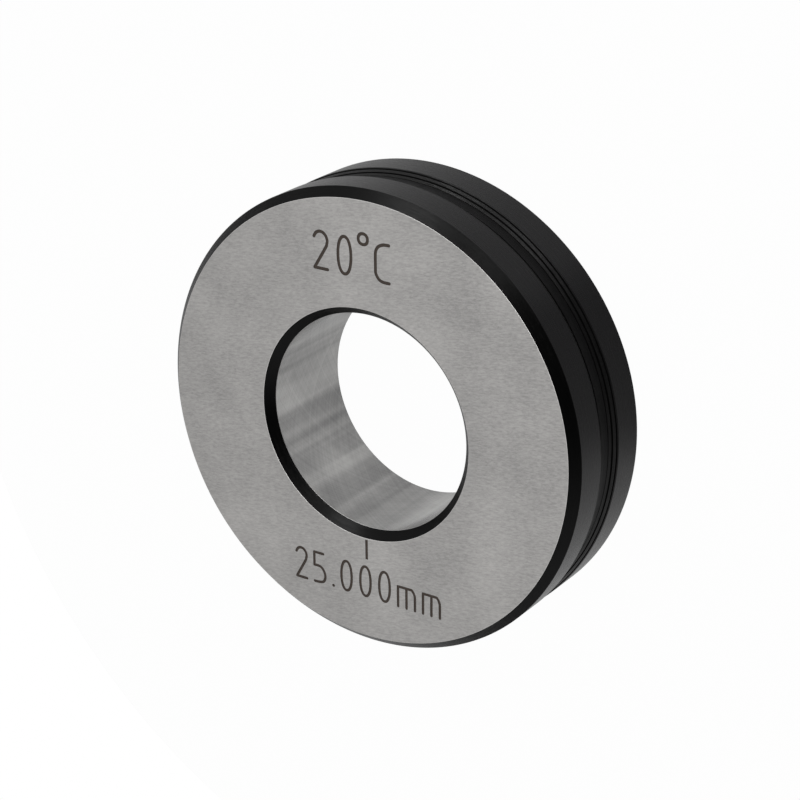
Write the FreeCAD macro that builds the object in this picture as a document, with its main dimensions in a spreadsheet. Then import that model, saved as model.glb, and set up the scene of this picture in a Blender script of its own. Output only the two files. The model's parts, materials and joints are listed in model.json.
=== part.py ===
import FreeCAD, Part

import math
import os

import Sketcher

# A steel setting ring: a master bore of known size, used to set bore gauges.
# It is turned and ground from one piece of steel, so it is one solid.
# The ring lies flat on its back face: its axis is Z, the origin is the centre
# of the back face, and the face that carries the marks looks up.
# Its section is the same on both sides of the middle plane, so it is drawn
# about that plane and then placed half a width up.
# Sizes are in millimetres and degrees.

SIZES = (
    ("outer_diameter", 53.0, "over the two lands"),
    ("bore_diameter", 25.0, "the measuring bore, the size that the ring stands for"),
    ("ring_width", 14.0, "from the back face to the marked face"),
    ("rim_chamfer_width", 1.0, "leg of the two outer chamfers along the faces"),
    ("bore_chamfer_width", 0.95, "leg of the two lead-in chamfers along the faces"),
    ("chamfer_depth", 1.05, "leg of all four chamfers along the axis"),
    ("groove_depth", 0.65, "from the lands down to the groove floor"),
    ("groove_floor_flat", 1.6, "straight part of the floor, between its two rounded corners"),
    ("groove_wall_lean", 58.0, "angle of each wall away from square to the axis"),
    ("groove_shoulder_radius", 0.2, "round where a wall meets its land"),
    ("groove_corner_radius", 0.2, "round where a wall meets the floor, left by the tool nose"),
    ("tool_overrun", 0.5, "how far the groove section runs out past the lands"),
)

# Ends of a sketch edge, and the sketch's own origin and axes, as constraints name them.
START, END, CENTRE = 1, 2, 3
ORIGIN = (-1, 1)
RADIAL_AXIS = -1


def size_sheet(doc):
    """The driving sizes, one row each: name, value, meaning."""
    sheet = doc.addObject("Spreadsheet::Sheet", "sizes")
    for row, (name, value, meaning) in enumerate(SIZES, start=1):
        sheet.set(f"A{row}", name)
        sheet.set(f"B{row}", str(value))
        sheet.set(f"C{row}", meaning)
        sheet.setAlias(f"B{row}", name)
    doc.recompute()
    return sheet


def origin_plane(body, role):
    """One of the body's own origin planes."""
    for plane in body.Origin.OriginFeatures:
        if plane.Role == role:
            return plane
    raise ValueError(f"the body has no {role}")


def section_sketch(body, name):
    """A sketch on a plane through the axis: x is the radius, y the height over mid width."""
    sketch = body.newObject("Sketcher::SketchObject", name)
    sketch.AttachmentSupport = (origin_plane(body, "XZ_Plane"), [""])
    sketch.MapMode = "FlatFace"
    return sketch


def line(sketch, start, end):
    """A straight edge between two (radius, height) points."""
    points = [FreeCAD.Vector(radius, height, 0) for radius, height in (start, end)]
    return sketch.addGeometry(Part.LineSegment(*points), False)


def arc(sketch, centre, radius, start_angle, end_angle):
    """A round edge, anticlockwise between two angles in degrees."""
    circle = Part.Circle(FreeCAD.Vector(*centre, 0), FreeCAD.Vector(0, 0, 1), radius)
    span = Part.ArcOfCircle(circle, math.radians(start_angle), math.radians(end_angle))
    return sketch.addGeometry(span, False)


def dimension(sketch, name, expression, *constraint):
    """A named dimension that follows the sheet."""
    index = sketch.addConstraint(Sketcher.Constraint(*constraint))
    sketch.renameConstraint(index, name)
    sketch.setExpression(f"Constraints.{name}", expression)


def turned_blank(body, sheet):
    """The ring with its four chamfers: an eight-sided section turned once round the axis."""
    section = section_sketch(body, "ring_section")
    inner = sheet.bore_diameter / 2
    outer = sheet.outer_diameter / 2
    inner_edge = inner + sheet.bore_chamfer_width
    outer_edge = outer - sheet.rim_chamfer_width
    half = sheet.ring_width / 2
    land = half - sheet.chamfer_depth
    corners = ((inner_edge, -half), (outer_edge, -half), (outer, -land), (outer, land),
               (outer_edge, half), (inner_edge, half), (inner, land), (inner, -land))
    edges = [line(section, *ends) for ends in zip(corners, corners[1:] + corners[:1])]
    for edge, following in zip(edges, edges[1:] + edges[:1]):
        section.addConstraint(Sketcher.Constraint("Coincident", edge, END, following, START))
    back, _, rim, _, face, _, bore, _ = edges
    section.addConstraint(Sketcher.Constraint("Horizontal", back))
    for lower, upper in (((back, START), (face, END)), ((back, END), (face, START)),
                         ((rim, START), (rim, END)), ((bore, END), (bore, START))):
        section.addConstraint(Sketcher.Constraint("Symmetric", *lower, *upper, RADIAL_AXIS))

    dimension(section, "bore_radius", "sizes.bore_diameter / 2",
              "DistanceX", *ORIGIN, bore, END, inner)
    dimension(section, "outer_radius", "sizes.outer_diameter / 2",
              "DistanceX", *ORIGIN, rim, START, outer)
    dimension(section, "width", "sizes.ring_width",
              "DistanceY", back, END, face, START, 2 * half)
    dimension(section, "bore_chamfer_width", "sizes.bore_chamfer_width",
              "DistanceX", bore, END, back, START, sheet.bore_chamfer_width)
    dimension(section, "bore_chamfer_depth", "sizes.chamfer_depth",
              "DistanceY", back, START, bore, END, sheet.chamfer_depth)
    dimension(section, "rim_chamfer_width", "sizes.rim_chamfer_width",
              "DistanceX", back, END, rim, START, sheet.rim_chamfer_width)
    dimension(section, "rim_chamfer_depth", "sizes.chamfer_depth",
              "DistanceY", back, END, rim, START, sheet.chamfer_depth)

    blank = body.newObject("PartDesign::Revolution", "turned_blank")
    blank.Profile = section
    blank.ReferenceAxis = (section, ["V_Axis"])
    blank.Angle = 360.0


def rim_groove(body, sheet):
    """The groove round the middle of the rim.

    Each half has a flat floor, a corner rounded by the tool nose, a wall that
    leans open, and a round shoulder that runs out tangent to the land.
    """
    section = section_sketch(body, "half_groove_section")
    land = sheet.outer_diameter / 2
    floor = land - sheet.groove_depth
    outside = land + sheet.tool_overrun
    corner = min(sheet.groove_corner_radius, 0.4 * sheet.groove_depth)
    shoulder = min(sheet.groove_shoulder_radius, 0.8 * sheet.groove_depth)
    lean = math.radians(sheet.groove_wall_lean)
    rounds = corner + shoulder
    wall_length = (sheet.groove_depth - rounds * (1 - math.sin(lean))) / math.cos(lean)

    floor_end = sheet.groove_floor_flat / 2
    wall_start = (floor + corner * (1 - math.sin(lean)), floor_end + corner * math.cos(lean))
    wall_end = (wall_start[0] + wall_length * math.cos(lean),
                wall_start[1] + wall_length * math.sin(lean))
    mouth = wall_end[1] + shoulder * math.cos(lean)

    flat = line(section, (floor, 0), (floor, floor_end))
    nose = arc(section, (floor + corner, floor_end), corner, 90 + sheet.groove_wall_lean, 180)
    wall = line(section, wall_start, wall_end)
    round_edge = arc(section, (land - shoulder, mouth), shoulder, sheet.groove_wall_lean - 90, 0)
    side = line(section, (land, mouth), (outside, mouth))
    opening = line(section, (outside, mouth), (outside, 0))
    middle = line(section, (outside, 0), (floor, 0))

    section.addConstraint(Sketcher.Constraint("Tangent", flat, END, nose, END))
    section.addConstraint(Sketcher.Constraint("Tangent", nose, START, wall, START))
    section.addConstraint(Sketcher.Constraint("Tangent", wall, END, round_edge, START))
    section.addConstraint(Sketcher.Constraint("Coincident", round_edge, END, side, START))
    section.addConstraint(Sketcher.Constraint("Coincident", side, END, opening, START))
    section.addConstraint(Sketcher.Constraint("Coincident", opening, END, middle, START))
    section.addConstraint(Sketcher.Constraint("Coincident", middle, END, flat, START))
    section.addConstraint(Sketcher.Constraint("Vertical", flat))
    section.addConstraint(Sketcher.Constraint("Horizontal", round_edge, CENTRE, side, START))
    section.addConstraint(Sketcher.Constraint("Horizontal", side))
    section.addConstraint(Sketcher.Constraint("Vertical", opening))
    section.addConstraint(Sketcher.Constraint("Horizontal", middle))
    section.addConstraint(Sketcher.Constraint("PointOnObject", flat, START, RADIAL_AXIS))

    dimension(section, "floor_radius", "sizes.outer_diameter / 2 - sizes.groove_depth",
              "DistanceX", *ORIGIN, flat, START, floor)
    dimension(section, "land_radius", "sizes.outer_diameter / 2",
              "DistanceX", *ORIGIN, side, START, land)
    dimension(section, "overrun", "sizes.tool_overrun",
              "DistanceX", side, START, side, END, sheet.tool_overrun)
    dimension(section, "half_flat", "sizes.groove_floor_flat / 2",
              "DistanceY", flat, START, flat, END, floor_end)
    dimension(section, "corner", "min(sizes.groove_corner_radius; 0.4 * sizes.groove_depth)",
              "Radius", nose, corner)
    dimension(section, "shoulder", "min(sizes.groove_shoulder_radius; 0.8 * sizes.groove_depth)",
              "Radius", round_edge, shoulder)
    dimension(section, "wall_lean", "sizes.groove_wall_lean",
              "Angle", RADIAL_AXIS, START, wall, START, lean)

    half_groove = body.newObject("PartDesign::Groove", "half_groove")
    half_groove.Profile = section
    half_groove.ReferenceAxis = (section, ["V_Axis"])
    half_groove.Angle = 360.0

    whole_groove = body.newObject("PartDesign::Mirrored", "whole_groove")
    whole_groove.Originals = [half_groove]
    whole_groove.MirrorPlane = (origin_plane(body, "XY_Plane"), [""])
    body.Tip = whole_groove


def setting_ring(doc, sheet):
    """The whole ring, in the order in which it is machined."""
    body = doc.addObject("PartDesign::Body", "setting_ring")
    body.Label = "setting_ring"
    turned_blank(body, sheet)
    rim_groove(body, sheet)
    body.setExpression("Placement.Base.z", "sizes.ring_width / 2")
    return body


def check(doc, bodies):
    """Stops if a feature failed or a solid isn't sound."""
    doc.recompute()
    for item in doc.Objects:
        if "Invalid" in item.State or "Error" in item.State:
            raise RuntimeError(f"{item.Name} failed: {item.State}")
    for body in bodies:
        if body.Shape.isNull() or not body.Shape.isValid():
            raise RuntimeError(f"{body.Label} has no valid shape")


def write(bodies):
    """One file for each piece, named after it."""
    os.makedirs("parts", exist_ok=True)
    for body in bodies:
        body.Shape.exportStep(f"parts/{body.Label}.step")
        size = body.Shape.optimalBoundingBox()
        print(f"{body.Label}: {size.XLength:.2f} x {size.YLength:.2f} x {size.ZLength:.2f},",
              f"volume {body.Shape.Volume:.1f}")


document = FreeCAD.newDocument("setting_ring_gauge")
sizes = size_sheet(document)
pieces = [setting_ring(document, sizes)]
check(document, pieces)
write(pieces)
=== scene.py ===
import json
import math

import bpy
from mathutils import Matrix, Vector
from mathutils.geometry import delaunay_2d_cdt


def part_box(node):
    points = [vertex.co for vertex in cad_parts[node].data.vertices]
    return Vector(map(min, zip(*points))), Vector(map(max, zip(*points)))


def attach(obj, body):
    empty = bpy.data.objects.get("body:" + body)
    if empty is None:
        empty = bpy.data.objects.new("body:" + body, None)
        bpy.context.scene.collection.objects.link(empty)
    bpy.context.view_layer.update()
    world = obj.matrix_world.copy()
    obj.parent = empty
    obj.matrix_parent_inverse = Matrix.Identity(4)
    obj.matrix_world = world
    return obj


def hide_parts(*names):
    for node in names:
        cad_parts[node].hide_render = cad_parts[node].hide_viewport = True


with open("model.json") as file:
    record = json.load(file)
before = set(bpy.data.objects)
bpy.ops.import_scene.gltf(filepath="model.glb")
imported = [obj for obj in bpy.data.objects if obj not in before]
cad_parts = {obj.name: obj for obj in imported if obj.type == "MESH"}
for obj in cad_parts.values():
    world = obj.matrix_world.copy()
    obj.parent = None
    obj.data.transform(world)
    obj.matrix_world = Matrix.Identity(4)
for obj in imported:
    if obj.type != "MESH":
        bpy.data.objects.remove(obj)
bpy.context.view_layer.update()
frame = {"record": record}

# The ring: one piece of hardened steel, turned all over, with a grip groove round the rim and a
# bevel on every edge, then ground and honed. Every edge is broken with a stone. The tool left
# a fine cut in both corners of the groove floor, and two more on the groove's back wall.

MM = 0.001
low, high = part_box("setting_ring")
ring_width = (high.z - low.z) / MM
mounts = {mount["name"]: mount["dims"] for mount in frame["record"]["mounts"]}
outer_radius = mounts["rim"]["r_mm"]
bore_radius = mounts["bore"]["r_mm"]
middle = ring_width / 2
rim_bevel = 1.0
bore_bevel = 0.95
bevel_depth = 1.05
groove_floor = outer_radius - 0.65
groove_floor_half = 0.86
groove_mouth_half = 1.90
front_shoulder_round = 0.4
back_shoulder_round = 0.06
face_edge_round = 0.05
black_edge_round = 0.08
cut_round = 0.02
floor_cut_depth = 0.05
floor_cut_half = 0.07
steps_round = 480

# Each corner of the section, clockwise from the inner edge of the marked face: its radius and
# height, how round it is, in how many steps, the finish of that round, and the finish of the
# surface that follows it. The cuts on the back wall lie where the photograph shows them.
cut_bottom = groove_floor - floor_cut_depth
front_corner = middle + groove_floor_half
back_corner = middle - groove_floor_half
section_corners = (
    (bore_radius + bore_bevel, ring_width, face_edge_round, 3, "edge", "marked face"),
    (outer_radius - rim_bevel, ring_width, face_edge_round, 3, "edge", "bevel"),
    (outer_radius, ring_width - bevel_depth, black_edge_round, 4, "bevel", "land"),
    (outer_radius, middle + groove_mouth_half, front_shoulder_round, 6, "groove", "groove"),
    (groove_floor, front_corner, cut_round, 1, "groove", "tool line"),
    (cut_bottom, front_corner - floor_cut_half, cut_round, 2, "tool line", "tool line"),
    (groove_floor, front_corner - 2 * floor_cut_half, cut_round, 1, "tool line", "groove"),
    (groove_floor, back_corner + 2 * floor_cut_half, cut_round, 1, "groove", "tool line"),
    (cut_bottom, back_corner + floor_cut_half, cut_round, 2, "tool line", "tool line"),
    (groove_floor, back_corner, cut_round, 1, "tool line", "groove wall"),
    (outer_radius - 0.469, middle - 1.15, cut_round, 1, "groove wall", "tool line"),
    (outer_radius - 0.50, middle - 1.235, cut_round, 2, "tool line", "tool line"),
    (outer_radius - 0.362, middle - 1.32, cut_round, 1, "tool line", "groove wall"),
    (outer_radius - 0.169, middle - 1.63, cut_round, 1, "groove wall", "tool line"),
    (outer_radius - 0.19, middle - 1.705, cut_round, 2, "tool line", "tool line"),
    (outer_radius - 0.075, middle - 1.78, cut_round, 1, "tool line", "groove wall"),
    (outer_radius, middle - groove_mouth_half, back_shoulder_round, 3, "groove", "land"),
    (outer_radius, bevel_depth, black_edge_round, 4, "bevel", "bevel"),
    (outer_radius - rim_bevel, 0.0, face_edge_round, 3, "edge", "back face"),
    (bore_radius + bore_bevel, 0.0, face_edge_round, 3, "edge", "bevel"),
    (bore_radius, bevel_depth, black_edge_round, 4, "bevel", "bore"),
    (bore_radius, ring_width - bevel_depth, black_edge_round, 4, "edge", "bevel"),
)


def rounded_corner(before, corner, after, radius, steps):
    """Points and outward normals along the round of one corner of the section."""
    arriving = (corner - before).normalized()
    leaving = (after - corner).normalized()
    turn = math.atan2(arriving.x * leaving.y - arriving.y * leaving.x, arriving.dot(leaving))
    start = corner - arriving * radius * math.tan(abs(turn) / 2)
    side = 1 if turn > 0 else -1
    inward = Vector((-arriving.y, arriving.x)) * side
    centre = start + inward * radius
    rows = []
    for step in range(steps + 1):
        spoke = Matrix.Rotation(turn * step / steps, 2) @ -inward
        rows.append((centre + spoke * radius, spoke * -side))
    return rows


section_points = []
section_normals = []
section_finishes = []
corner_points = [Vector(corner[:2]) for corner in section_corners]
for number, (radius, height, roundness, steps, round_finish, finish) in enumerate(section_corners):
    following = corner_points[(number + 1) % len(corner_points)]
    rows = rounded_corner(corner_points[number - 1], corner_points[number], following,
                          roundness, steps)
    for row, (point, normal) in enumerate(rows):
        section_points.append(point)
        section_normals.append(normal)
        section_finishes.append(round_finish if row < steps else finish)

ring_vertices = []
ring_vertex_normals = []
for point, normal in zip(section_points, section_normals):
    for step in range(steps_round):
        angle = 2 * math.pi * step / steps_round
        across = Vector((math.cos(angle), math.sin(angle), 0))
        ring_vertices.append(across * point.x + Vector((0, 0, point.y)))
        ring_vertex_normals.append(across * normal.x + Vector((0, 0, normal.y)))

ring_faces = []
ring_face_finishes = []
for segment, finish in enumerate(section_finishes):
    if finish == "marked face":
        inner_circle = segment * steps_round
        outer_circle = (segment + 1) * steps_round
        continue
    near = segment * steps_round
    far = (segment + 1) % len(section_points) * steps_round
    for step in range(steps_round):
        onward = (step + 1) % steps_round
        ring_faces.append((near + step, far + step, far + onward, near + onward))
        ring_face_finishes.append(finish)

# The marks on the upper face: the nominal size, the temperature at which it holds and an index
# line, etched into the ground steel with a single-line letter style. They are let into the face
# here, a twentieth of a millimetre deep.

mark_depth = 0.05
reference_stroke = 0.37
size_stroke = 0.33
dot_stroke = size_stroke * 1.15
index_stroke = 0.34
index_middle = 0.18
index_top = -(bore_radius + bore_bevel + 0.15)
index_bottom = -16.0

# The letter style, with every sign in a box of 1 by 1. The round signs are a little squarer
# than an ellipse, and are drawn as two half ovals.
squareness = 0.92
oval = [(0.5 - 0.5 * math.copysign(abs(math.cos(turn)) ** squareness, math.cos(turn)),
         0.5 + 0.5 * math.copysign(abs(math.sin(turn)) ** squareness, math.sin(turn)))
        for turn in (2 * math.pi * step / 48 for step in range(49))]
letter_style = {
    "2": ([(0, 0.845), (0.13, 0.935), (0.30, 0.984), (0.50, 1), (0.71, 0.976), (0.91, 0.898),
           (1, 0.785), (0.96, 0.685), (0.86, 0.580), (0.01, 0.004)],
          [(0.01, 0.004), (1, 0)]),
    "5": ([(0.84, 1), (0.01, 1)],
          [(0.01, 1), (0, 0.56)],
          [(0, 0.56), (0.34, 0.562), (0.60, 0.538), (0.83, 0.458), (0.97, 0.335), (1, 0.215),
           (0.92, 0.105), (0.76, 0.040), (0.44, 0.008), (0.01, 0)]),
    "0": (oval[:25], oval[24:]),
    "degree": (oval[:25], oval[24:]),
    "C": ([(1, 1), (0.65, 0.993), (0.42, 0.967), (0.22, 0.918), (0.09, 0.850), (0.02, 0.765),
           (0, 0.66), (0, 0.27), (0.03, 0.195), (0.11, 0.125), (0.26, 0.055), (0.46, 0.014),
           (0.72, 0), (1, 0)],),
    "m": ([(0, 1), (0, 0)],
          [(0.5, 1), (0.5, 0)],
          [(0, 1), (0.74, 1), (0.85, 0.955), (0.93, 0.86), (0.98, 0.74), (1, 0.60), (1, 0)]),
    ".": ([(0.5, 0.45), (0.5, 0.55)],),
}

# Where each sign stands on the face: left, right, base and top of its middle line.
placed_signs = (
    ("2", -5.99, -4.27, 17.08, 21.22, reference_stroke),
    ("0", -2.90, -1.23, 17.03, 21.18, reference_stroke),
    ("degree", -0.26, 0.92, 20.71, 21.89, reference_stroke),
    ("C", 1.89, 3.60, 16.97, 21.15, reference_stroke),
    ("2", -9.50, -8.10, -20.57, -16.88, size_stroke),
    ("5", -7.02, -5.55, -20.58, -16.93, size_stroke),
    (".", -4.47, -4.39, -20.51, -20.43, dot_stroke),
    ("0", -3.31, -1.92, -20.58, -16.96, size_stroke),
    ("0", -0.74, 0.64, -20.58, -16.96, size_stroke),
    ("0", 1.81, 3.21, -20.58, -16.96, size_stroke),
    ("m", 4.31, 6.54, -20.63, -18.20, size_stroke),
    ("m", 7.60, 9.80, -20.63, -18.20, size_stroke),
)


def smooth_run(points):
    """A run of points with its bends filled in, and its long straights left straight."""
    longest = max((b - a).length for a, b in zip(points, points[1:]))
    straight = 0.6 * longest if longest > 1.0 else math.inf
    pieces = 4
    filled = [points[0]]
    for number in range(len(points) - 1):
        start, end = points[number], points[number + 1]
        if (end - start).length > straight:
            filled.append(end)
            continue
        before = points[number - 1] if number else start
        after = points[number + 2] if number + 2 < len(points) else end
        for piece in range(1, pieces + 1):
            t = piece / pieces
            filled.append(0.5 * (2 * start + (end - before) * t
                                 + (2 * before - 5 * start + 4 * end - after) * t ** 2
                                 + (3 * start - before - 3 * end + after) * t ** 3))
    return filled


def stroke_outline(points, width):
    """The outline of one etched line, with round ends, anticlockwise."""
    half = width / 2
    left, right = [], []
    for number, point in enumerate(points):
        behind = point - points[number - 1] if number else points[1] - point
        ahead = points[number + 1] - point if number + 1 < len(points) else behind
        along = (behind.normalized() + ahead.normalized()).normalized()
        across = Vector((-along.y, along.x)) * half
        left.append(point + across)
        right.append(point - across)
    first = math.atan2(*(points[0] - points[1]).yx)
    last = math.atan2(*(points[-1] - points[-2]).yx)
    cap_turns = [math.pi * (step / 8 - 0.5) for step in range(1, 8)]
    end_cap = [points[-1] + Vector((math.cos(last + turn), math.sin(last + turn))) * half
               for turn in cap_turns]
    start_cap = [points[0] + Vector((math.cos(first + turn), math.sin(first + turn))) * half
                 for turn in cap_turns]
    return right + end_cap + left[::-1] + start_cap


mark_outlines = []
for sign, left_side, right_side, base, top, width in placed_signs:
    for run in letter_style[sign]:
        placed = [Vector((left_side + (right_side - left_side) * x, base + (top - base) * y))
                  for x, y in run]
        mark_outlines.append(stroke_outline(smooth_run(placed), width))
mark_outlines.append([
    Vector((index_middle + side * index_stroke / 2, height))
    for side, height in ((-1, index_top), (-1, index_bottom), (1, index_bottom), (1, index_top))])

# The face is divided into triangles round the marks, and the marks are then set down. Face 0
# of the division fills the bore and face 1 the ring, and the marks follow.
flat_points = [Vector(ring_vertices[start + step][:2])
               for start in (inner_circle, outer_circle) for step in range(steps_round)]
flat_faces = [list(range(steps_round)), list(range(steps_round, 2 * steps_round))]
for outline in mark_outlines:
    flat_faces.append(list(range(len(flat_points), len(flat_points) + len(outline))))
    flat_points.extend(outline)
inside_only = 1
flat_points, _, triangles, first_points, _, first_faces = delaunay_2d_cdt(
    flat_points, [], flat_faces, inside_only, 1e-6)

top_of = []
for point, sources in zip(flat_points, first_points):
    on_circle = [source for source in sources if source < 2 * steps_round]
    if on_circle:
        start = inner_circle if on_circle[0] < steps_round else outer_circle - steps_round
        top_of.append(start + on_circle[0])
    else:
        top_of.append(len(ring_vertices))
        ring_vertices.append(Vector((point.x, point.y, ring_width)))
        ring_vertex_normals.append(Vector((0, 0, 1)))

bottom_of = {}
mark_edges = set()
for triangle, sources in zip(triangles, first_faces):
    if 0 in sources:
        continue
    if not any(source > 1 for source in sources):
        ring_faces.append(tuple(top_of[corner] for corner in triangle))
        ring_face_finishes.append("marked face")
        continue
    for corner in triangle:
        if corner not in bottom_of:
            bottom_of[corner] = len(ring_vertices)
            ring_vertices.append(ring_vertices[top_of[corner]] - Vector((0, 0, mark_depth)))
            ring_vertex_normals.append(Vector((0, 0, 1)))
    ring_faces.append(tuple(bottom_of[corner] for corner in triangle))
    ring_face_finishes.append("mark")
    for start, end in zip(triangle, triangle[1:] + triangle[:1]):
        mark_edges.add((start, end))
for start, end in sorted(mark_edges):
    if (end, start) not in mark_edges:
        ring_faces.append((bottom_of[start], top_of[start], top_of[end], bottom_of[end]))
        ring_face_finishes.append("mark")

# The finishes: bright ground steel on both faces, honed steel in the bore, and black oxide on
# the rim and the bevels. The lands were ground before they were blackened, and the stone left
# a thin bright line where a bevel meets a face.


def plain_colour(red, green, blue):
    """A colour read off a screen, 0 to 255, as the renderer's linear values."""
    shares = [value / 255 for value in (red, green, blue)]
    return tuple(share / 12.92 if share <= 0.04045 else ((share + 0.055) / 1.055) ** 2.4
                 for share in shares) + (1.0,)


def node(tree, kind, values=(), **settings):
    """One node with its settings, and its input values by name or number."""
    made = tree.nodes.new(kind)
    for name, value in settings.items():
        setattr(made, name, value)
    for name, value in dict(values).items():
        made.inputs[name].default_value = value
    return made


def join(tree, *pairs):
    """Links each output to its input."""
    for output, socket in pairs:
        tree.links.new(output, socket)


# Noise, turned about the ring's axis by a slope and drawn out to a length along each axis, gives
# the tool and grain lines. With it come a slow drift of tone and a hone's crossed scratches.
grain_lines = bpy.data.node_groups.new("grain_lines", "ShaderNodeTree")
for name, kind in (("Point", "NodeSocketVector"), ("Lengths", "NodeSocketVector"),
                   ("Slope", "NodeSocketFloat"), ("Contrast", "NodeSocketFloat")):
    grain_lines.interface.new_socket(name=name, in_out="INPUT", socket_type=kind)
for name in ("Lines", "Fine Lines", "Drift", "Honing"):
    grain_lines.interface.new_socket(name=name, in_out="OUTPUT", socket_type="NodeSocketFloat")
given = node(grain_lines, "NodeGroupInput")
result = node(grain_lines, "NodeGroupOutput")
point_parts = node(grain_lines, "ShaderNodeSeparateXYZ")
turned_point = node(grain_lines, "ShaderNodeVectorRotate", rotation_type="Z_AXIS")
drawn_out = node(grain_lines, "ShaderNodeVectorMath", operation="DIVIDE")
coarse = node(grain_lines, "ShaderNodeTexNoise", {"Scale": 1.0, "Detail": 2.0, "Roughness": 0.55})
fine = node(grain_lines, "ShaderNodeTexNoise", {"Scale": 3.1, "Detail": 2.0, "Roughness": 0.6})
drift = node(grain_lines, "ShaderNodeTexNoise", {"Scale": 110.0, "Detail": 2.0, "Roughness": 0.5})
crossed = node(grain_lines, "ShaderNodeMix", {"Factor": 0.5}, data_type="FLOAT")
join(grain_lines,
     (given.outputs["Point"], point_parts.inputs[0]),
     (given.outputs["Point"], turned_point.inputs["Vector"]),
     (given.outputs["Slope"], turned_point.inputs["Angle"]),
     (turned_point.outputs[0], drawn_out.inputs[0]),
     (given.outputs["Lengths"], drawn_out.inputs[1]),
     (drawn_out.outputs[0], coarse.inputs["Vector"]),
     (drawn_out.outputs[0], fine.inputs["Vector"]),
     (given.outputs["Point"], drift.inputs["Vector"]))
hone_scratch = (0.0004, 0.0004, 0.012)
hone_lean = 130.0
for lean, socket in ((hone_lean, 2), (-hone_lean, 3)):
    wound = node(grain_lines, "ShaderNodeMath", {1: lean}, operation="MULTIPLY")
    unwound = node(grain_lines, "ShaderNodeVectorRotate", rotation_type="Z_AXIS")
    thinned = node(grain_lines, "ShaderNodeVectorMath", {1: hone_scratch}, operation="DIVIDE")
    scratches = node(grain_lines, "ShaderNodeTexNoise",
                     {"Scale": 1.0, "Detail": 2.0, "Roughness": 0.6})
    join(grain_lines,
         (point_parts.outputs["Z"], wound.inputs[0]),
         (given.outputs["Point"], unwound.inputs["Vector"]),
         (wound.outputs[0], unwound.inputs["Angle"]),
         (unwound.outputs[0], thinned.inputs[0]),
         (thinned.outputs[0], scratches.inputs["Vector"]),
         (scratches.outputs["Fac"], crossed.inputs[socket]))
for source, name in ((coarse.outputs["Fac"], "Lines"), (fine.outputs["Fac"], "Fine Lines"),
                     (drift.outputs["Fac"], "Drift"), (crossed.outputs[0], "Honing")):
    centred = node(grain_lines, "ShaderNodeMath", {1: 0.5}, operation="SUBTRACT")
    stretched = node(grain_lines, "ShaderNodeMath", {2: 0.5}, operation="MULTIPLY_ADD",
                     use_clamp=True)
    join(grain_lines,
         (source, centred.inputs[0]),
         (centred.outputs[0], stretched.inputs[0]),
         (given.outputs["Contrast"], stretched.inputs[1]),
         (stretched.outputs[0], result.inputs[name]))


def grained_steel(name, dark, light, lengths, contrast, rough, ior, relief,
                  slope=0.0, metallic=0.0, fine_share=0.35, honing_share=0.0):
    """A steel finish whose colour, gloss and relief follow its grain lines.

    Its dark and light tones are as on a screen, its grain's lengths along the three axes are
    in millimetres, and rough is how rough the light lines are and then the dark ones.
    """
    drift_share = 0.35
    bump_height = 0.02 * MM
    light_rough, dark_rough = rough
    finish = bpy.data.materials.new(name)
    finish.use_nodes = True
    finish.diffuse_color = plain_colour(*light)
    tree = finish.node_tree
    steel = tree.nodes["Principled BSDF"]
    steel.inputs["Metallic"].default_value = metallic
    steel.inputs["IOR"].default_value = ior
    place = node(tree, "ShaderNodeTexCoord")
    grain = node(tree, "ShaderNodeGroup", node_tree=grain_lines)
    grain.inputs["Lengths"].default_value = [length * MM for length in lengths]
    grain.inputs["Slope"].default_value = slope
    grain.inputs["Contrast"].default_value = contrast
    shade = node(tree, "ShaderNodeMix", {"Factor": fine_share}, data_type="FLOAT")
    drifted = node(tree, "ShaderNodeMix", {"Factor": drift_share}, data_type="FLOAT")
    honed = node(tree, "ShaderNodeMix", {"Factor": honing_share}, data_type="FLOAT")
    colour = node(tree, "ShaderNodeMix", {6: plain_colour(*dark), 7: plain_colour(*light)},
                  data_type="RGBA")
    gloss = node(tree, "ShaderNodeMapRange", {"To Min": dark_rough, "To Max": light_rough})
    bump = node(tree, "ShaderNodeBump", {"Strength": relief, "Distance": bump_height})
    join(tree,
         (place.outputs["Object"], grain.inputs["Point"]),
         (grain.outputs["Lines"], shade.inputs[2]),
         (grain.outputs["Fine Lines"], shade.inputs[3]),
         (shade.outputs[0], drifted.inputs[2]),
         (grain.outputs["Drift"], drifted.inputs[3]),
         (drifted.outputs[0], honed.inputs[2]),
         (grain.outputs["Honing"], honed.inputs[3]),
         (honed.outputs[0], colour.inputs[0]),
         (colour.outputs[2], steel.inputs["Base Color"]),
         (shade.outputs[0], gloss.inputs["Value"]),
         (gloss.outputs[0], steel.inputs["Roughness"]),
         (grain.outputs["Fine Lines"], bump.inputs["Height"]),
         (bump.outputs[0], steel.inputs["Normal"]))
    return finish


ground_steel = grained_steel(
    "ground_steel", dark=(136, 135, 134), light=(185, 183, 181), lengths=(0.55, 0.16, 0.55),
    contrast=2.3, rough=(0.36, 0.46), ior=1.5, relief=0.35, slope=-0.157, metallic=1.0)
honed_steel = grained_steel(
    "honed_steel", dark=(138, 138, 138), light=(220, 219, 217), lengths=(3.1, 3.1, 80.0),
    contrast=3.6, rough=(0.16, 0.24), ior=1.5, relief=0.2, slope=0.838, metallic=1.0,
    fine_share=0.18, honing_share=0.20)
black_land = grained_steel(
    "black_oxide_ground", dark=(5, 4, 6), light=(11, 9, 12), lengths=(9.0, 9.0, 0.12),
    contrast=1.5, rough=(0.24, 0.32), ior=1.28, relief=0.3)
black_groove = grained_steel(
    "black_oxide_groove", dark=(3, 3, 4), light=(9, 8, 9), lengths=(12.0, 12.0, 0.16),
    contrast=2.2, rough=(0.26, 0.36), ior=1.20, relief=0.6)
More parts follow.
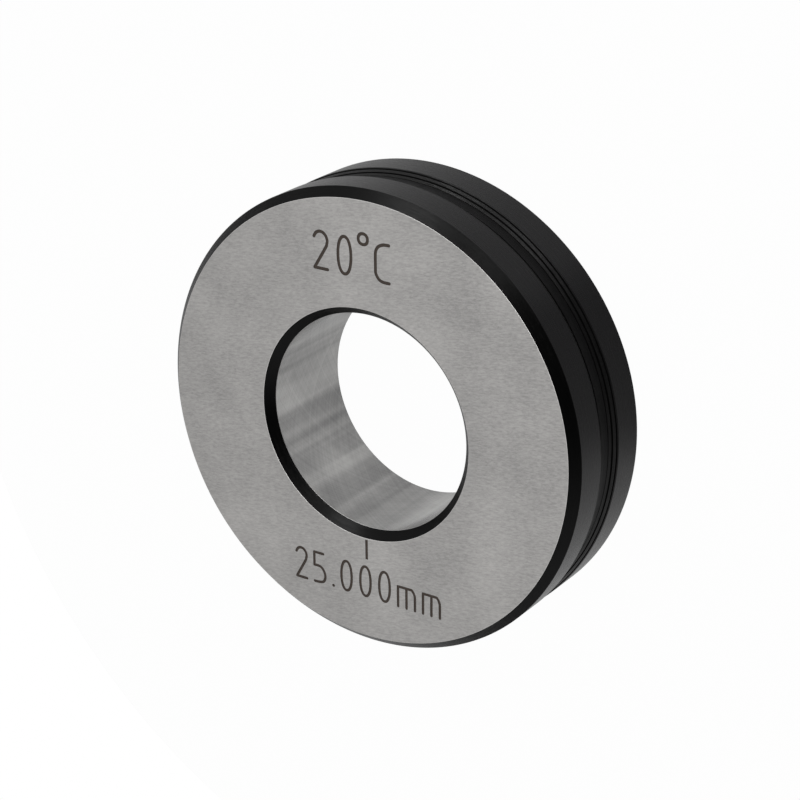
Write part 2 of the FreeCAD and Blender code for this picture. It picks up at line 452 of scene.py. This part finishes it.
# The groove's back wall gets a lighter, more mirroring copy of the groove's black oxide: painted
# sheen on the wall.
black_wall_painted_sheen = grained_steel(
    "black_oxide_wall_painted_sheen", dark=(4, 4, 4), light=(12, 11, 12), lengths=(12.0, 12.0, 0.16),
    contrast=2.4, rough=(0.24, 0.34), ior=1.38, relief=0.6)
black_turned = grained_steel(
    "black_oxide_turned", dark=(1, 1, 1), light=(3, 3, 3), lengths=(12.0, 12.0, 0.16),
    contrast=1.8, rough=(0.26, 0.36), ior=1.24, relief=0.5)
# The tool cuts get a darker copy of the black oxide that barely mirrors: painted shade in the
# cuts.
black_cut_painted_shade = grained_steel(
    "black_oxide_cut_painted_shade", dark=(1, 1, 1), light=(2, 2, 2), lengths=(12.0, 12.0, 0.16),
    contrast=1.8, rough=(0.50, 0.60), ior=1.10, relief=0.3)
edge_steel = grained_steel(
    "stoned_edge", dark=(190, 189, 187), light=(235, 234, 232), lengths=(1.2, 1.2, 0.2),
    contrast=1.5, rough=(0.35, 0.45), ior=1.5, relief=0.2, metallic=1.0)
etched_mark = grained_steel(
    "etched_mark", dark=(56, 49, 44), light=(72, 64, 58), lengths=(0.14, 0.10, 0.14),
    contrast=1.8, rough=(0.60, 0.72), ior=1.3, relief=0.8, slope=0.3)

finish_of = {
    "marked face": ground_steel,
    "back face": ground_steel,
    "bore": honed_steel,
    "land": black_land,
    "bevel": black_turned,
    "groove": black_groove,
    "groove wall": black_wall_painted_sheen,
    "tool line": black_cut_painted_shade,
    "edge": edge_steel,
    "mark": etched_mark,
}

# The ring as it is seen: the turned form, its marked face and the finishes together, in the
# place of the CAD solid.

ring_mesh = bpy.data.meshes.new("ring_steel_body")
ring_mesh.from_pydata([point * MM for point in ring_vertices], [], ring_faces)
finishes = list(dict.fromkeys(finish_of.values()))
for finish in finishes:
    ring_mesh.materials.append(finish)
corner_normals = []
flat_finishes = ("marked face", "back face", "mark")
for polygon, finish in zip(ring_mesh.polygons, ring_face_finishes):
    polygon.material_index = finishes.index(finish_of[finish])
    polygon.use_smooth = finish not in flat_finishes
    for corner in polygon.vertices:
        corner_normals.append(polygon.normal.copy() if finish in flat_finishes
                              else ring_vertex_normals[corner])
ring_mesh.normals_split_custom_set(corner_normals)
ring_mesh.validate()
ring = bpy.data.objects.new("ring_steel_body", ring_mesh)
bpy.context.scene.collection.objects.link(ring)
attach(ring, "root")
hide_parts("setting_ring")

# The small round white table that the ring lies on, pale enough to run into the white room. It
# takes a soft shadow. Outside the ring, and only as mirrors see it, it carries a painted shade
# towards the front, where the camera stands, and painted light on the side of the lower marks,
# so that the black rim mirrors it darker there and whiter on that side.

table_radius = 74 * MM
table_drop = 0.02 * MM
table_corners = 96
table_grey = (0.45, 0.45, 0.45, 1)
floor_mesh = bpy.data.meshes.new("white_table")
floor_rim = [2 * math.pi * step / table_corners for step in range(table_corners)]
floor_mesh.from_pydata(
    [(table_radius * math.cos(turn), table_radius * math.sin(turn), -table_drop)
     for turn in floor_rim], [], [range(table_corners)])
white_table = bpy.data.materials.new("white_table")
white_table.use_nodes = True
tree = white_table.node_tree
tree.nodes.remove(tree.nodes["Principled BSDF"])

# How white the table is by itself, apart from its light: to the camera, in a mirror, in the
# mirror's painted shade and painted light, and through a clear body.
seen_white = 0.98
mirrored_white = 0.36
mirrored_painted_shade = 0.04
mirrored_painted_light = 0.62
clear_white = 0.80
# The bearings of the painted shade and the painted light that the table shows only in mirrors.
painted_shade_bearing = math.radians(20)
painted_light_bearing = math.radians(-75)
lit = node(tree, "ShaderNodeBsdfDiffuse", {"Color": table_grey})
shown = node(tree, "ShaderNodeEmission", {"Color": (1, 1, 1, 1), "Strength": 1.0})
ray = node(tree, "ShaderNodeLightPath")
spot = node(tree, "ShaderNodeTexCoord")
outward = node(tree, "ShaderNodeVectorMath", operation="NORMALIZE")
distance_out = node(tree, "ShaderNodeVectorMath", operation="LENGTH")
outside_ring = node(tree, "ShaderNodeMath", {1: outer_radius * MM}, operation="GREATER_THAN")
# Painted shade and painted light on the mirrored table outside the ring: darker about the first
# bearing, whiter about the second.
towards_painted_shade = node(tree, "ShaderNodeVectorMath",
                     {1: (math.cos(painted_shade_bearing), math.sin(painted_shade_bearing), 0)},
                     operation="DOT_PRODUCT")
towards_painted_light = node(tree, "ShaderNodeVectorMath",
                      {1: (math.cos(painted_light_bearing), math.sin(painted_light_bearing), 0)},
                      operation="DOT_PRODUCT")
painted_shade_here = node(tree, "ShaderNodeMapRange", {"From Min": 0.86, "From Max": 0.98},
                  interpolation_type="SMOOTHSTEP")
painted_light_here = node(tree, "ShaderNodeMapRange",
                   {"From Min": 0.3, "From Max": 0.95,
                    "To Min": mirrored_white, "To Max": mirrored_painted_light})
painted_shade_and_light = node(tree, "ShaderNodeMix", {3: mirrored_painted_shade}, data_type="FLOAT")
mirrored = node(tree, "ShaderNodeMix", {2: mirrored_white}, data_type="FLOAT")
camera_share = node(tree, "ShaderNodeMath", {1: seen_white}, operation="MULTIPLY")
glossy_share = node(tree, "ShaderNodeMath", operation="MULTIPLY_ADD")
clear_share = node(tree, "ShaderNodeMath", {1: clear_white}, operation="MULTIPLY_ADD")
whole = node(tree, "ShaderNodeMixShader")
join(tree,
     (spot.outputs["Object"], outward.inputs[0]),
     (spot.outputs["Object"], distance_out.inputs[0]),
     (distance_out.outputs["Value"], outside_ring.inputs[0]),
     (outward.outputs[0], towards_painted_shade.inputs[0]),
     (outward.outputs[0], towards_painted_light.inputs[0]),
     (towards_painted_shade.outputs["Value"], painted_shade_here.inputs["Value"]),
     (towards_painted_light.outputs["Value"], painted_light_here.inputs["Value"]),
     (painted_shade_here.outputs["Result"], painted_shade_and_light.inputs[0]),
     (painted_light_here.outputs["Result"], painted_shade_and_light.inputs[2]),
     (outside_ring.outputs[0], mirrored.inputs[0]),
     (painted_shade_and_light.outputs[0], mirrored.inputs[3]),
     (ray.outputs["Is Camera Ray"], camera_share.inputs[0]),
     (ray.outputs["Is Glossy Ray"], glossy_share.inputs[0]),
     (mirrored.outputs[0], glossy_share.inputs[1]),
     (camera_share.outputs[0], glossy_share.inputs[2]),
     (ray.outputs["Is Transmission Ray"], clear_share.inputs[0]),
     (glossy_share.outputs[0], clear_share.inputs[2]),
     (clear_share.outputs[0], whole.inputs[0]),
     (lit.outputs[0], whole.inputs[1]),
     (shown.outputs[0], whole.inputs[2]),
     (whole.outputs[0], tree.nodes["Material Output"].inputs["Surface"]))
floor_mesh.materials.append(white_table)
floor = bpy.data.objects.new("white_table", floor_mesh)
bpy.context.scene.collection.objects.link(floor)

# The light: a white room, palest overhead and dark below the table. It is dim on the side that
# the camera looks from, as in a photographer's tent with its front open. A small soft lamp
# hangs near the ring, and two low lamps stand beyond the top of the marks.

world = bpy.data.worlds.new("white_room")
bpy.context.scene.world = world
world.use_nodes = True
tree = world.node_tree
room = tree.nodes["Background"]
room.inputs["Color"].default_value = (1, 1, 1, 1)
front_bearing = math.radians(20)
front_rise = math.radians(40)
tent_front = (math.cos(front_bearing) * math.cos(front_rise),
              math.sin(front_bearing) * math.cos(front_rise), math.sin(front_rise))
where = node(tree, "ShaderNodeTexCoord")
how_high = node(tree, "ShaderNodeSeparateXYZ")
facing = node(tree, "ShaderNodeVectorMath", {1: tent_front}, operation="DOT_PRODUCT")
front_share = node(tree, "ShaderNodeMapRange", {"From Min": 0.45, "From Max": 0.92,
                                                "To Min": 1.0, "To Max": 0.05},
                   interpolation_type="SMOOTHSTEP")
ceiling_share = node(tree, "ShaderNodeMapRange", {"From Min": 0.66, "From Max": 0.90,
                                                  "To Min": 0.62, "To Max": 1.30})
low_share = node(tree, "ShaderNodeMapRange", {"From Min": -0.10, "From Max": 0.04,
                                              "To Min": 0.05, "To Max": 1.0})
height_share = node(tree, "ShaderNodeMath", operation="MULTIPLY")
mirrored_level = node(tree, "ShaderNodeMath", operation="MULTIPLY")
lighting_level = node(tree, "ShaderNodeMapRange", {"From Min": 0.20, "From Max": 0.90,
                                                   "To Min": 0.75, "To Max": 0.15},
                      interpolation_type="SMOOTHSTEP")
ray = node(tree, "ShaderNodeLightPath")
mirror_ray = node(tree, "ShaderNodeMath", operation="MAXIMUM")
by_ray = node(tree, "ShaderNodeMix", data_type="FLOAT")
to_camera = node(tree, "ShaderNodeMix", {3: 1.0}, data_type="FLOAT")
join(tree,
     (where.outputs["Generated"], facing.inputs[0]),
     (where.outputs["Generated"], how_high.inputs[0]),
     (facing.outputs["Value"], front_share.inputs["Value"]),
     (how_high.outputs["Z"], ceiling_share.inputs["Value"]),
     (how_high.outputs["Z"], low_share.inputs["Value"]),
     (ceiling_share.outputs["Result"], height_share.inputs[0]),
     (low_share.outputs["Result"], height_share.inputs[1]),
     (front_share.outputs["Result"], mirrored_level.inputs[0]),
     (height_share.outputs[0], mirrored_level.inputs[1]),
     (facing.outputs["Value"], lighting_level.inputs["Value"]),
     (ray.outputs["Is Glossy Ray"], mirror_ray.inputs[0]),
     (ray.outputs["Is Transmission Ray"], mirror_ray.inputs[1]),
     (mirror_ray.outputs[0], by_ray.inputs[0]),
     (lighting_level.outputs["Result"], by_ray.inputs[2]),
     (mirrored_level.outputs[0], by_ray.inputs[3]),
     (ray.outputs["Is Camera Ray"], to_camera.inputs[0]),
     (by_ray.outputs[0], to_camera.inputs[2]),
     (to_camera.outputs[0], room.inputs["Strength"]))

# Each lamp: how wide it is, its power, its bearing and height in degrees, and its distance.
for name, width, power, bearing, rise, distance in (
        ("overhead_lamp", 0.22, 0.50, 40, 72, 0.42),
        ("near_lamp", 0.50, 1.7, 66, 22, 1.2),
        ("side_lamp", 0.50, 3.1, 104, 28, 1.2)):
    bearing = math.radians(bearing)
    rise = math.radians(rise)
    lamp_data = bpy.data.lights.new(name, "AREA")
    lamp_data.shape = "DISK"
    lamp_data.size = width
    lamp_data.energy = power
    lamp = bpy.data.objects.new(name, lamp_data)
    bpy.context.scene.collection.objects.link(lamp)
    towards = Vector((math.cos(bearing) * math.cos(rise), math.sin(bearing) * math.cos(rise),
                      math.sin(rise)))
    lamp.location = towards * distance
    lamp.rotation_euler = (-towards).to_track_quat("-Z", "Y").to_euler()

# The camera looks down on the marked face from the right, and is rolled so that the ring seems
# to stand on its rim, as in the photograph.

camera_data = bpy.data.cameras.new("camera")
camera_data.sensor_width = 36.0
camera_data.lens = 102.879
camera_data.clip_start = 0.01
camera_data.clip_end = 50.0
camera = bpy.data.objects.new("camera", camera_data)
bpy.context.scene.collection.objects.link(camera)
camera.location = Vector((130.496, 96.339, 200.836)) * MM
aim = Vector((4.822, 4.112, 14.0)) * MM
roll = math.radians(-119.958)
level_view = (aim - camera.location).to_track_quat("-Z", "Y").to_matrix()
rolled_view = level_view @ Matrix.Rotation(roll, 3, "Z")
camera.rotation_euler = rolled_view.to_euler()
bpy.context.scene.camera = camera
bpy.context.scene.view_settings.view_transform = "Standard"
